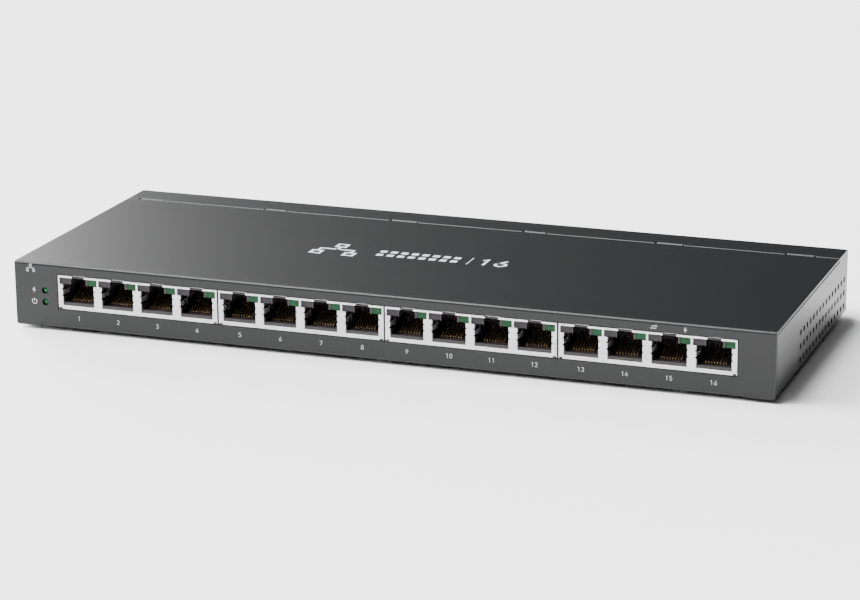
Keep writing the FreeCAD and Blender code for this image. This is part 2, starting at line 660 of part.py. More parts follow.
def build_insulator():
    """Thin film on the floor, cut out round standoffs and wall holes."""
    body = new_body("insulator_film")
    block(body, "film_sheet", ("-film_half", "film_half"), ("film_front", "film_rear"),
          ("steel", "steel + film"))
    hole = drill(body, "film_post_hole", "XY_Plane", "-post_x", "post_front", "film_hole", "0", "2 * steel")
    repeat(body, hole, ("X_Axis", "post_x", 3), ("Y_Axis", "post_rear - post_front", 2))
    key = cut_block(body, "film_key_hole", ("-key_x - key_head", "-key_x + key_head"),
                    ("key_y - key_travel - key_head", "key_y + key_head"), ("0", "2 * steel"))
    repeat(body, key, ("X_Axis", "2 * key_x", 2))


# ------------------------------------------------------------- circuit board

def build_main_board():
    body = new_body("main_board")
    block(body, "laminate", ("-board_half", "board_half"), ("board_front", "board_rear"),
          ("board_low", "board_high"))
    through = ("board_low - 1", "board_high + 1")
    holes = drill(body, "fixing_hole", "XY_Plane", "-post_x", "post_front", "clearance", *through)
    repeat(body, holes, ("X_Axis", "post_x", 3), ("Y_Axis", "post_rear - post_front", 2))
    for gang in range(GANGS):
        drawing = new_sketch(body, f"pin_holes_{gang + 1}", "XY_Plane", through[0])
        first = f"{gang_centre(gang)} + {FIRST_PORT}"
        draw_circle(drawing, f"{first} - 3.5 * wire_pitch", "tail_front_row", "2 * wire")
        draw_circle(drawing, f"{first} - 2.5 * wire_pitch", "tail_rear_row", "2 * wire")
        pins = pocket(body, f"pin_holes_{gang + 1}", drawing, "board_high - board_low + 2")
        repeat(body, pins, ("X_Axis", "2 * wire_pitch", WIRES // 2), ("X_Axis", "port_pitch", PORTS_PER_GANG))
    legs = cut_block(body, "leg_slots", ("group_x - 2 * gang_pitch - 0.8", "group_x - 2 * gang_pitch + 0.8"),
                     ("leg_front - 0.2", "leg_front + leg_width + 0.2"), through)
    repeat(body, legs, ("X_Axis", "gang_pitch", GANGS + 1), ("Y_Axis", "leg_spread", 2))
    slots = cut_block(body, "inlet_slots", ("inlet_x - terminal_half - 0.2", "inlet_x + terminal_half + 0.2"),
                      ("terminal_first - 0.15", "terminal_first + terminal_sheet + 0.15"), through)
    repeat(body, slots, ("Y_Axis", "terminal_step", 2))


def build_jack_housing(gang):
    """Moulded block with four plug cavities, latch slots and lamp pockets."""
    body = new_body(f"jack_housing_{gang + 1}", gang_centre(gang))
    wide = "gang_width / 2 - tin - housing_play"
    face = "shield_front + tin + housing_play"
    rear = "shield_front + shield_depth - tin - housing_play"
    block(body, "moulding", (f"-({wide})", wide), (face, rear),
          ("housing_low", "shield_high - tin - housing_play"))
    row = ("X_Axis", "port_pitch", PORTS_PER_GANG)

    def port_cut(name, half, y, z, right=None):
        left_edge = f"{FIRST_PORT} - {half}"
        right_edge = f"{FIRST_PORT} + {right or half}"
        repeat(body, cut_block(body, name, (left_edge, right_edge), y, z), row)

    port_cut("cavity", "cavity_half", ("0", "cavity_end"), ("lip", "lamp_low"))
    port_cut("tongue_recess", "relief_half", ("0", "relief_end"),
             ("tongue_low - 2 * slit", "tongue_high + 2 * slit"))
    port_cut("latch_slot", "latch_half", ("0", "latch_end"), ("lamp_low - 0.1", "lamp_high"))
    port_cut("left_lamp_pocket", "lamp_half", ("0", "lamp_end + 0.1"), ("lamp_low", "lamp_high"),
             right="(0.05 - left_inner)")
    port_cut("right_lamp_pocket", "(0.05 - right_inner)", ("0", "lamp_end + 0.1"), ("lamp_low", "lamp_high"),
             right="lamp_half")
    port_cut("wire_slot", "comb_half", ("comb_front", "comb_rear"), ("housing_low - 1", "lip + 0.1"))
    port_cut("wire_trench", "comb_half", ("comb_front", "trench_end"), ("housing_low - 1", "trench_high"))


def build_jack_shield(gang):
    """Tinned steel can with four windows and springy grounding tongues."""
    body = new_body(f"jack_shield_{gang + 1}", gang_centre(gang))
    wide = "gang_width / 2"
    face = "shield_front"
    rear = "shield_front + shield_depth"
    block(body, "can", (f"-{wide}", wide), (face, rear), ("shield_low", "shield_high"))
    cut_block(body, "can_inside", (f"tin - {wide}", f"{wide} - tin"), (f"{face} + tin", f"{rear} - tin"),
              ("shield_low - 1", "shield_high - tin"))
    row = ("X_Axis", "port_pitch", PORTS_PER_GANG)
    front = ("-1", f"{face} + tin + 0.02")

    def port_cut(name, half, y, z):
        cut = cut_block(body, name, (f"{FIRST_PORT} - {half}", f"{FIRST_PORT} + {half}"), y, z)
        repeat(body, cut, row)

    port_cut("window", "window_half", front, ("window_low", "lamp_low + 0.05"))
    port_cut("lamp_window", "lamp_half", front, ("lamp_low", "lamp_high"))
    port_cut("notch", "notch_half", ("-1", "notch_end"), ("lamp_high - 0.05", "shield_high + 1"))
    port_cut("low_slit", "(window_half + slit)", front, ("tongue_low - slit", "tongue_low"))
    port_cut("high_slit", "(window_half + slit)", front, ("tongue_high", "tongue_high + slit"))
    for name, left, right in (("left", f"-{wide} - 1", f"corner_notch - {wide}"),
                              ("right", f"{wide} - corner_notch", f"{wide} + 1")):
        cut_block(body, f"{name}_corner", (left, right), front,
                  ("shield_low - 1", "shield_low + corner_rise"))
    for side, sign in (("left", "-"), ("right", "+")):
        build_tongue(body, side, sign, row)
    legs = block(body, "left_leg", (f"-{wide}", f"tin - {wide}"), ("leg_front", "leg_front + leg_width"),
                 ("leg_end", "shield_low + 0.1"))
    repeat(body, legs, ("X_Axis", "gang_width - tin", 2), ("Y_Axis", "leg_spread", 2))


def build_tongue(body, side, sign, row):
    """Springy tongue folded in from the window edge, crest towards the plug."""
    wall = f"{FIRST_PORT} {sign} window_half"
    inward = "+" if sign == "-" else "-"
    drawing = new_sketch(body, f"{side}_tongue", "XY_Plane", "tongue_low")
    draw_outline(drawing, [
        (f"{wall} {sign} tin", "shield_front"),
        (wall, "shield_front"),
        (f"{wall} {inward} tongue_bulge", "shield_front + tongue_crest"),
        (f"{wall} {inward} tongue_bulge", "shield_front + tongue_crest + 2 * tin"),
        (f"{wall} {inward} tongue_bulge / 4", "shield_front + tongue_depth"),
        (f"{wall} {sign} tin", "shield_front + tongue_depth - tin"),
        (f"{wall} {inward} (tongue_bulge - tin)", "shield_front + tongue_crest + tin"),
        (f"{wall} {sign} tin", "shield_front + tin"),
    ])
    tongue = pad(body, f"{side}_tongue", drawing, "tongue_high - tongue_low")
    repeat(body, tongue, row)


def build_port_contacts(number):
    """Eight spring arms of one socket, hinged at their front bend."""
    gang, port = divmod(number, PORTS_PER_GANG)
    body = new_body(f"port_contacts_{number + 1:02d}",
                    f"{gang_centre(gang)} + {FIRST_PORT} + {port} * port_pitch")
    drawing = new_sketch(body, "arm", "YZ_Plane", "-3.5 * wire_pitch - wire / 2")
    draw_outline(drawing, [
        ("pivot_y - wire", "pivot_z"),
        ("pivot_y", "pivot_z - wire / 2"),
        ("pivot_y + arm_run", "pivot_z + arm_rise - wire / 2"),
        ("pivot_y + arm_run - 0.1", "pivot_z + arm_rise + wire / 2"),
        ("pivot_y - 0.1", "pivot_z + wire"),
        ("pivot_y - wire", "pivot_z + wire * 0.7"),
    ])
    arm = pad(body, "arm", drawing, "wire")
    repeat(body, arm, ("X_Axis", "wire_pitch", WIRES))


def build_contact_tails():
    """Fixed ends of the spring wires: up to the lip, back and down into the board."""
    body = new_body("contact_tails")
    for gang in range(GANGS):
        for name, shift, row in (("front", "-3.5", "tail_front_row"), ("rear", "-2.5", "tail_rear_row")):
            left = f"{gang_centre(gang)} + {FIRST_PORT} + {shift} * wire_pitch - wire / 2"
            drawing = new_sketch(body, f"tail_{name}_{gang + 1}", "YZ_Plane", left)
            draw_outline(drawing, [
                ("pivot_y - wire / 2", "tail_level"),
                (f"{row} - wire / 2", "tail_level"),
                (f"{row} - wire / 2", "tail_end"),
                (f"{row} + wire / 2", "tail_end"),
                (f"{row} + wire / 2", "tail_level + wire"),
                ("pivot_y + wire / 2", "tail_level + wire"),
                ("pivot_y + wire / 2", "pivot_z - wire"),
                ("pivot_y - wire / 2", "pivot_z - wire"),
            ])
            tail = pad(body, f"tail_{name}_{gang + 1}", drawing, "wire")
            repeat(body, tail, ("X_Axis", "2 * wire_pitch", WIRES // 2),
                   ("X_Axis", "port_pitch", PORTS_PER_GANG))


def build_port_lamps():
    """Moulded lamps in the upper corners of every socket."""
    for label, left, right in (("left_lamps", "-lamp_outer", "-left_inner"),
                               ("right_lamps", "right_inner", "lamp_outer")):
        body = new_body(label)
        first = f"group_x - 1.5 * gang_pitch + {FIRST_PORT}"
        lamp = block(body, "lamp", (f"{first} + ({left})", f"{first} + ({right})"), ("lamp_face", "lamp_end"),
                     ("lamp_bottom", "lamp_top"))
        repeat(body, lamp, ("X_Axis", "port_pitch", PORTS_PER_GANG), ("X_Axis", "gang_pitch", GANGS))
        low = size_of("lamp_bottom")
        inner = [size_of("group_x") + (gang - 1.5) * size_of("gang_pitch")
                 + (port - 1.5) * size_of("port_pitch")
                 + (size_of("right_inner") if label == "right_lamps" else -size_of("left_inner"))
                 for gang in range(GANGS) for port in range(PORTS_PER_GANG)]
        round_edges(body, "lower_edges", "lamp_round", lambda box: lies_at(box, None, low) and box.YLength > 1
                    and any(near(box.Center.x, x) for x in inner))


def build_status_lamps():
    holder = new_body("status_lamp_holder")
    block(holder, "holder_block", ("status_x - holder_half", "status_x + holder_half"),
          ("holder_front", "holder_end"), ("board_high", "holder_top"))
    bore = drill(holder, "holder_bore", "XZ_Plane", "status_x", "status_low", "status_lamp + 0.06",
                 "0", "status_end + 0.1")
    repeat(holder, bore, ("Z_Axis", "status_high - status_low", 2))
    body = new_body("status_lamps")
    lamp = round_bar(body, "lamp", "XZ_Plane", "status_x", "status_low", "status_lamp", "lamp_face - 0.1",
                     "status_end")
    repeat(body, lamp, ("Z_Axis", "status_high - status_low", 2))
    front = size_of("lamp_face") - 0.1
    round_edges(body, "domes", "status_dome", lambda box: lies_at(box, front, None))


# --------------------------------------------------------------- power inlet

def build_power_inlet():
    """Barrel inlet: moulded body, centre pin, spring leaf and solder terminals."""
    body = new_body("inlet_body")
    x = ("inlet_x - inlet_half", "inlet_x + inlet_half")
    block(body, "inlet_moulding", x, ("inlet_front", "inlet_face"), ("board_high + 0.1", "inlet_top"))
    drill(body, "barrel", "XZ_Plane", "inlet_x", "inlet_z", "inlet_bore", "inlet_floor", "case_depth")
    cut_block(body, "leaf_space", ("inlet_x - leaf_half - 0.2", "inlet_x + leaf_half + 0.2"),
              ("inlet_front + 1", "leaf_tip + 0.4"), ("board_high", "leaf_low + 2"))
    drill(body, "pin_seat", "XZ_Plane", "inlet_x", "inlet_z", "pin_diameter", "inlet_front + 0.5",
          "inlet_floor + 1")

    pin = new_body("inlet_pin")
    round_bar(pin, "pin", "XZ_Plane", "inlet_x", "inlet_z", "pin_diameter", "inlet_front + 0.6", "pin_tip")
    tip = size_of("pin_tip")
    round_edges(pin, "pin_point", "pin_diameter * 0.35", lambda box: lies_at(box, tip, None))

    leaf = new_body("inlet_leaf")
    drawing = new_sketch(leaf, "leaf", "YZ_Plane", "inlet_x - leaf_half")
    draw_outline(drawing, [
        ("leaf_root", "leaf_low"),
        ("leaf_tip - 2.6", "leaf_low + leaf_rise"),
        ("leaf_tip", "leaf_low + leaf_rise * 0.3"),
        ("leaf_tip", "leaf_low + leaf_rise * 0.3 + leaf_sheet"),
        ("leaf_tip - 2.6", "leaf_low + leaf_rise + leaf_sheet"),
        ("leaf_root", "leaf_low + leaf_sheet"),
    ])
    pad(leaf, "leaf", drawing, "2 * leaf_half")

    legs = new_body("inlet_terminals")
    leg = block(legs, "terminal", ("inlet_x - terminal_half", "inlet_x + terminal_half"),
                ("terminal_first", "terminal_first + terminal_sheet"), ("terminal_end", "board_high + 0.1"))
    repeat(legs, leg, ("Y_Axis", "terminal_step", 2))
    block(legs, "leaf_rest", ("inlet_x - terminal_half", "inlet_x + terminal_half"),
          ("terminal_first", "terminal_first + terminal_sheet"), ("board_high", "leaf_low - 0.1"))


def build_earth_terminal():
    """Earth screw and its washer in the recess of the rear wall."""
    floor = "case_depth - recess_depth"
    height = "earth_z + 0.9"
    washer = new_body("earth_washer")
    round_bar(washer, "ring", "XZ_Plane", "earth_x", height, "washer_diameter", floor,
              f"{floor} + washer_height")
    drill(washer, "ring_hole", "XZ_Plane", "earth_x", height, "earth_thread + 0.3", f"{floor} - 1",
          "case_depth")
    screw = new_body("earth_screw")
    start = f"{floor} + washer_height"
    end = f"{start} + earth_head_height"
    round_bar(screw, "head", "XZ_Plane", "earth_x", height, "earth_head", start, end)
    round_bar(screw, "shank", "XZ_Plane", "earth_x", height, "earth_thread - thread_play",
              f"{floor} - steel - earth_nut_height", start)
    list(cut_cross(screw, "cross", "XZ_Plane", "earth_x", height, f"{end} - 1.2", f"{end} + 1"))


# ------------------------------------------------------- parts on the board

def square_part(label, x, y, half, low, high):
    body = new_body(label)
    block(body, "case", (f"{x} - {half}", f"{x} + {half}"), (f"{y} - {half}", f"{y} + {half}"), (low, high))
    return body


def build_board_parts():
    chip_top = "board_high + chip_height"
    pad_top = f"{chip_top} + pad_height"
    square_part("switch_chip", "chip_x", "chip_y", "chip_half", "board_high", chip_top)
    square_part("thermal_pad", "chip_x", "chip_y", "pad_half", chip_top, pad_top)
    sink = square_part("heat_sink", "chip_x", "chip_y", "sink_half", pad_top, f"{pad_top} + sink_base")
    fin = block(sink, "fin_plate", ("chip_x - sink_half", "chip_x - sink_half + fin"),
                ("chip_y - sink_half", "chip_y + sink_half"),
                (f"{pad_top} + sink_base", f"{pad_top} + sink_height"))
    repeat(sink, fin, ("X_Axis", "fin_pitch", 9))

    drivers = square_part("power_controllers", "-driver_x", "driver_y", "driver_half", "board_high",
                          "board_high + driver_height")
    repeat(drivers, drivers.Tip, ("X_Axis", "2 * driver_x", 2))
    magnetics = new_body("transformer_modules")
    first = "group_x - 1.5 * gang_pitch - port_pitch"
    module = block(magnetics, "case", (f"{first} - magnetics_half", f"{first} + magnetics_half"),
                   ("magnetics_front", "magnetics_front + magnetics_width"),
                   ("board_high", "board_high + magnetics_height"))
    repeat(magnetics, module, ("X_Axis", "2 * port_pitch", 2), ("X_Axis", "gang_pitch", GANGS))

    coils = square_part("inductors", "coil_x", "coil_y", "coil_half", "board_high",
                        "board_high + coil_height")
    repeat(coils, coils.Tip, ("X_Axis", "coil_step", 2))
    cans = new_body("bulk_capacitors")
    can = round_bar(cans, "can", "XY_Plane", "can_x", "can_y", "can_diameter", "board_high",
                    "board_high + can_height")
    repeat(cans, can, ("X_Axis", "can_step", 3))
    top = size_of("board_high") + size_of("can_height")
    round_edges(cans, "can_tops", "can_round", lambda box: lies_at(box, None, top))


def build_small_parts():
    crystal = new_body("crystal")
    block(crystal, "can", ("crystal_x - crystal_length / 2", "crystal_x + crystal_length / 2"),
          ("crystal_y - crystal_width / 2", "crystal_y + crystal_width / 2"),
          ("board_high", "board_high + crystal_height"))
    square_part("memory_chip", "memory_x", "memory_y", "memory_half", "board_high",
                "board_high + memory_height")
    resistors = new_body("small_resistors")
    first = f"group_x - 1.5 * gang_pitch + {FIRST_PORT}"
    part = block(resistors, "chip_part", (f"{first} - chip_part_width / 2", f"{first} + chip_part_width / 2"),
                 ("resistor_y", "resistor_y + chip_part_length"),
                 ("board_high", "board_high + resistor_height"))
    repeat(resistors, part, ("X_Axis", "small_pitch", 32))
    ceramics = new_body("small_capacitors")
    part = block(ceramics, "chip_part", ("ceramic_x", "ceramic_x + chip_part_width"),
                 ("ceramic_y", "ceramic_y + chip_part_length"), ("board_high", "board_high + ceramic_height"))
    repeat(ceramics, part, ("X_Axis", "small_pitch", 8))


def build_all():
    make_sheet()
    build_front_cover()
    build_base_chassis()
    build_feet()
    build_cover_screws()
    build_standoffs()
    build_board_screws()
    build_insulator()
    build_main_board()
    for gang in range(GANGS):
        build_jack_housing(gang)
        build_jack_shield(gang)
    for number in range(GANGS * PORTS_PER_GANG):
        build_port_contacts(number)
    build_contact_tails()
    build_port_lamps()
    build_status_lamps()
    build_power_inlet()
    build_earth_terminal()
    build_board_parts()
    build_small_parts()


def check_and_write():
    """Stop on any faulty object, then write one file per sub-part."""
    DOC.recompute()
    for thing in DOC.Objects:
        if "Invalid" in thing.State or "Error" in thing.State:
            raise ValueError(f"{thing.Name} did not recompute: {thing.State}")
    os.makedirs("parts", exist_ok=True)
    for body in FINISHED:
        if body.Shape.isNull() or not body.Shape.isValid() or not body.Shape.Solids:
            raise ValueError(f"{body.Label} has no valid solid")
        body.Shape.exportStep(f"parts/{body.Label}.step")
        print(f"{body.Label}: {len(body.Shape.Solids)} solids, {body.Shape.Volume:.1f} mm3")


build_all()
check_and_write()
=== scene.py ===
import math

import bmesh
import bpy
from mathutils import Matrix, Vector


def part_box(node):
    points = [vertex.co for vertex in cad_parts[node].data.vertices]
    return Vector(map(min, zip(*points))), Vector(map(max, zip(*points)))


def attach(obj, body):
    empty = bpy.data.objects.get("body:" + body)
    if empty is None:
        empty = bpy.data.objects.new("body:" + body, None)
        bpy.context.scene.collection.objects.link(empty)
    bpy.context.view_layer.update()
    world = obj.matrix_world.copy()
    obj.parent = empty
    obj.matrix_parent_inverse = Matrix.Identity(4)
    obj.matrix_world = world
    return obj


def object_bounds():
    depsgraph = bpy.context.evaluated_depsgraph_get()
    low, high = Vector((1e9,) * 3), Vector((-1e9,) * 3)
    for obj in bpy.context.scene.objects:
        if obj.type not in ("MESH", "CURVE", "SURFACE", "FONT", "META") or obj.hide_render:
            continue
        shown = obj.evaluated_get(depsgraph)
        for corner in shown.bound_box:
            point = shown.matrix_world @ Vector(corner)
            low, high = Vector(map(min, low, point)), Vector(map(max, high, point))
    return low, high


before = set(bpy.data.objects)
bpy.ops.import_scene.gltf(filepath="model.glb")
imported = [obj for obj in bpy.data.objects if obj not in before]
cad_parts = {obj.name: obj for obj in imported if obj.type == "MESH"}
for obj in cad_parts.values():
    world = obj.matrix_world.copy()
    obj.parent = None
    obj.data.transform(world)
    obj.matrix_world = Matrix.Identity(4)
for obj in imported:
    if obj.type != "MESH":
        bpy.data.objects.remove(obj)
cad_low, cad_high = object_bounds()

MM = 0.001

# ------------------------------------------------------------ places on the case
FRONT = cad_low.y
TOP = cad_high.z
FLOOR_OF_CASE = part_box("base_chassis")[0].z
PORTS = 16
LAMP_RADIUS = 1.05 * MM         # status lamps

# ------------------------------------------------------------ print on the case
INK = 0.012 * MM                # thickness of a printed mark
NUMBER_HEIGHT = 1.6 * MM        # height of a port number
NUMBER_FOOT = 3.4 * MM          # foot of the port numbers above the case floor
SIGN_ROW = 21.9 * MM            # middle of the signs above the sockets, above the case floor
TOP_ROW = FRONT + 52 * MM       # middle of the signs on the top
COUNT_HEIGHT = 7.5 * MM         # height of the number of sockets on the top
PEN = 0.12                      # stroke of a number, as a part of its height
DIGIT_STEP = 0.86               # distance between digits, as a part of their height
DIGIT_HALF = 0.3                # half width of a digit, as a part of its height
SHARPEST = 0.55                 # limits how far a stroke's corner reaches out


# ------------------------------------------------------------ node tree helpers
class Tree:
    """Short way to build a material's node tree."""

    def __init__(self, name):
        self.material = bpy.data.materials.new(name)
        self.material.use_nodes = True
        self.nodes = self.material.node_tree.nodes
        self.links = self.material.node_tree.links
        self.shader = self.nodes["Principled BSDF"]
        self.place = self.nodes.new("ShaderNodeTexCoord").outputs["Object"]

    def add(self, kind, inputs=None, **settings):
        node = self.nodes.new(kind)
        for key, value in settings.items():
            setattr(node, key, value)
        for key, value in (inputs or {}).items():
            self.put(node.inputs[key], value)
        return node

    def put(self, socket, value):
        if isinstance(value, bpy.types.NodeSocket):
            self.links.new(value, socket)
        else:
            socket.default_value = value

    def scaled(self, x, y, z):
        """Object position stretched by a factor along each axis."""
        node = self.add("ShaderNodeMapping", {"Vector": self.place})
        node.inputs["Scale"].default_value = (x, y, z)
        return node.outputs["Vector"]

    def noise(self, scale, detail=4.0, rough=0.55, vector=None):
        node = self.add("ShaderNodeTexNoise", {
            "Vector": vector or self.place, "Scale": scale, "Detail": detail, "Roughness": rough})
        return node.outputs["Fac"]

    def span(self, value, low, high, start=0.3, end=0.7):
        node = self.add("ShaderNodeMapRange", {
            "Value": value, "From Min": start, "From Max": end, "To Min": low, "To Max": high})
        return node.outputs["Result"]

    def blend(self, factor, first, second):
        node = self.add("ShaderNodeMix", data_type="RGBA")
        self.put(node.inputs["Factor"], factor)
        self.put(node.inputs[6], first)
        self.put(node.inputs[7], second)
        return node.outputs[2]

    def bump(self, height, strength, distance, normal=None):
        inputs = {"Height": height, "Strength": strength, "Distance": distance}
        if normal is not None:
            inputs["Normal"] = normal
        return self.add("ShaderNodeBump", inputs).outputs["Normal"]

    def soft_edge(self, radius):
        node = self.add("ShaderNodeBevel", samples=6)
        node.inputs["Radius"].default_value = radius
        return node.outputs["Normal"]

    def finish(self, **inputs):
        for key, value in inputs.items():
            self.put(self.shader.inputs[key.replace("_", " ")], value)
        return self.material


def rgb(r, g, b):
    return (r, g, b, 1.0)


# ------------------------------------------------------------ materials
def case_paint():
    """Dark grey powder coat: fine grain, faint mottling, rounded folds."""
    t = Tree("case_paint")
    grain = t.noise(5200.0, 2.0, 0.6)
    cloud = t.noise(45.0, 3.0, 0.5)
    edge = t.soft_edge(0.25 * MM)
    tone = t.blend(t.span(grain, 0.0, 1.0), rgb(0.0020, 0.0022, 0.0026), rgb(0.0042, 0.0045, 0.0052))
    tone = t.blend(t.span(cloud, 0.0, 0.25), tone, rgb(0.0037, 0.0039, 0.0044))
    return t.finish(Base_Color=tone, Roughness=t.span(grain, 0.29, 0.37), Metallic=0.0,
                    Specular_IOR_Level=0.42, Normal=t.bump(grain, 0.10, 0.03 * MM, edge))


def bright_plate():
    """Tinned shield sheet with faint rolling marks."""
    t = Tree("bright_plate")
    rolled = t.noise(900.0, 3.0, 0.6, t.scaled(0.05, 1.0, 1.0))
    cloud = t.noise(300.0, 3.0, 0.5)
    edge = t.soft_edge(0.06 * MM)
    tone = t.blend(t.span(cloud, 0.0, 1.0), rgb(0.60, 0.60, 0.615), rgb(0.71, 0.71, 0.725))
    return t.finish(Base_Color=tone, Roughness=t.span(rolled, 0.36, 0.48), Metallic=1.0,
                    Normal=t.bump(rolled, 0.05, 0.02 * MM, edge))


def metal(name, light, dark, rough, grain_scale=1500.0):
    t = Tree(name)
    grain = t.noise(grain_scale, 3.0, 0.6)
    tone = t.blend(t.span(grain, 0.0, 1.0), rgb(*dark), rgb(*light))
    return t.finish(Base_Color=tone, Roughness=t.span(grain, rough - 0.05, rough + 0.07), Metallic=1.0,
                    Normal=t.bump(grain, 0.05, 0.02 * MM, t.soft_edge(0.08 * MM)))


def moulding(name, light, dark, rough, grain_scale=2600.0, specular=0.5):
    """Moulded plastic, rubber or compound with a fine spark-eroded grain."""
    t = Tree(name)
    grain = t.noise(grain_scale, 3.0, 0.6)
    tone = t.blend(t.span(grain, 0.0, 1.0), rgb(*dark), rgb(*light))
    return t.finish(Base_Color=tone, Roughness=t.span(grain, rough - 0.06, rough + 0.06),
                    Specular_IOR_Level=specular, Normal=t.bump(grain, 0.12, 0.02 * MM, t.soft_edge(0.1 * MM)))


def lens(name, light, dark, glow=0.0):
    """Tinted diffuser: slightly uneven, a little light inside."""
    t = Tree(name)
    cloud = t.noise(700.0, 2.0, 0.5)
    tone = t.blend(t.span(cloud, 0.0, 1.0), rgb(*dark), rgb(*light))
    material = t.finish(Base_Color=tone, Roughness=t.span(cloud, 0.16, 0.26), Specular_IOR_Level=0.18,
                        Normal=t.bump(cloud, 0.05, 0.02 * MM, t.soft_edge(0.12 * MM)))
    if glow:
        t.finish(Emission_Color=tone, Emission_Strength=glow)
    return material


def solder_mask():
    """Green board with tracks just showing under the mask."""
    t = Tree("solder_mask")
    tracks = t.add("ShaderNodeTexBrick", {"Vector": t.place, "Scale": 260.0, "Mortar Size": 0.03})
    weave = t.noise(1800.0, 2.0, 0.5)
    tone = t.blend(tracks.outputs["Fac"], rgb(0.006, 0.075, 0.028), rgb(0.015, 0.13, 0.05))
    tone = t.blend(t.span(weave, 0.0, 0.3), tone, rgb(0.004, 0.05, 0.02))
    return t.finish(Base_Color=tone, Roughness=t.span(weave, 0.28, 0.4),
                    Normal=t.bump(tracks.outputs["Fac"], 0.15, 0.03 * MM))


def print_ink():
    t = Tree("print_ink")
    wear = t.noise(3000.0, 3.0, 0.6)
    tone = t.blend(t.span(wear, 0.0, 1.0), rgb(0.42, 0.43, 0.45), rgb(0.52, 0.53, 0.55))
    return t.finish(Base_Color=tone, Roughness=t.span(wear, 0.45, 0.6))


PAINT = case_paint()
PLATE = bright_plate()
INK_MATERIAL = print_ink()
BLACK = moulding("socket_black", (0.024, 0.019, 0.021), (0.014, 0.011, 0.012), 0.45)
GOLD = metal("gold_wire", (0.58, 0.41, 0.21), (0.42, 0.29, 0.14), 0.38)
GREY_LENS = lens("grey_lens", (0.034, 0.030, 0.034), (0.022, 0.019, 0.022))
GREEN_LENS = lens("green_lens", (0.004, 0.055, 0.017), (0.002, 0.032, 0.010), 0.15)
STATUS_LENS = lens("status_lens", (0.015, 0.13, 0.045), (0.008, 0.08, 0.027), 0.3)
RUBBER = moulding("foot_rubber", (0.035, 0.035, 0.037), (0.02, 0.02, 0.021), 0.75, 1800.0, 0.3)
ZINC = metal("zinc_screw", (0.66, 0.66, 0.68), (0.50, 0.50, 0.53), 0.28)
BRIGHT = metal("bright_steel", (0.78, 0.77, 0.75), (0.62, 0.61, 0.60), 0.25)
FILM = moulding("film_sheet", (0.62, 0.62, 0.56), (0.52, 0.52, 0.47), 0.35, 600.0)
CHIP = moulding("chip_mould", (0.022, 0.022, 0.023), (0.012, 0.012, 0.013), 0.55, 3600.0)
ANODISED = metal("anodised_black", (0.07, 0.07, 0.075), (0.04, 0.04, 0.043), 0.42)
SOFT_PAD = moulding("thermal_rubber", (0.42, 0.46, 0.52), (0.34, 0.38, 0.44), 0.8, 1500.0, 0.2)
CAN = metal("can_aluminium", (0.80, 0.80, 0.82), (0.66, 0.66, 0.69), 0.25)
FERRITE = moulding("ferrite", (0.07, 0.07, 0.075), (0.04, 0.04, 0.043), 0.7, 3200.0)
CERAMIC = moulding("ceramic_part", (0.48, 0.34, 0.20), (0.38, 0.26, 0.14), 0.45, 3000.0)
BOARD = solder_mask()

NODE_MATERIALS = {
    "front_cover": PAINT, "base_chassis": PAINT, "insulator_film": FILM, "main_board": BOARD,
    "cover_screws": ZINC, "board_screws": ZINC, "board_standoffs": BRIGHT, "earth_screw": ZINC,
    "earth_washer": BRIGHT, "contact_tails": GOLD, "left_lamps": GREY_LENS, "right_lamps": GREEN_LENS,
    "status_lamp_holder": BLACK, "status_lamps": STATUS_LENS, "inlet_body": BLACK, "inlet_pin": BRIGHT,
    "inlet_leaf": BRIGHT, "inlet_terminals": BRIGHT, "switch_chip": CHIP, "thermal_pad": SOFT_PAD,
    "heat_sink": ANODISED, "power_controllers": CHIP, "transformer_modules": CHIP, "inductors": FERRITE,
    "bulk_capacitors": CAN, "crystal": BRIGHT, "memory_chip": CHIP, "small_resistors": CHIP,
    "small_capacitors": CERAMIC,
}
PREFIX_MATERIALS = {"foot_": RUBBER, "jack_housing_": BLACK, "jack_shield_": PLATE, "port_contacts_": GOLD}


def material_for(name):
    if name in NODE_MATERIALS:
        return NODE_MATERIALS[name]
    return next(PREFIX_MATERIALS[start] for start in PREFIX_MATERIALS if name.startswith(start))


def dress_frame():
    for name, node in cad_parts.items():
        node.data.materials.clear()
        node.data.materials.append(material_for(name))


# ------------------------------------------------------------ printed marks
def mesh_piece(name, bm, material):
    """New visible piece that rides on the case."""
    mesh = bpy.data.meshes.new(name)
    bm.to_mesh(mesh)
    bm.free()
    mesh.materials.append(material)
    piece = bpy.data.objects.new(name, mesh)
    bpy.context.scene.collection.objects.link(piece)
    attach(piece, "case")
    return piece


def thicken(bm, depth):
    """Turn flat faces in the XY plane into closed plates of that depth."""
    bmesh.ops.remove_doubles(bm, verts=bm.verts, dist=1e-7)
    faces = list(bm.faces)
    for face in faces:
        if face.normal.z < 0:
            face.normal_flip()
    made = bmesh.ops.extrude_face_region(bm, geom=faces)
    moved = [item for item in made["geom"] if isinstance(item, bmesh.types.BMVert)]
    bmesh.ops.translate(bm, verts=moved, vec=(0, 0, depth))
    bmesh.ops.recalc_face_normals(bm, faces=bm.faces)


def on_front(x, z):
    """Placement that stands the XY plane up on the front panel."""
    return Matrix.Translation((x, FRONT, z)) @ Matrix.Rotation(math.radians(90), 4, "X")


def on_top(x, y):
    return Matrix.Translation((x, y, TOP))


def arc(x, y, wide, high, start, end, steps=10):
    """Points along part of an ellipse, angles in degrees."""
    angles = [math.radians(start + (end - start) * step / steps) for step in range(steps + 1)]
    return [(x + wide * math.cos(a), y + high * math.sin(a)) for a in angles]


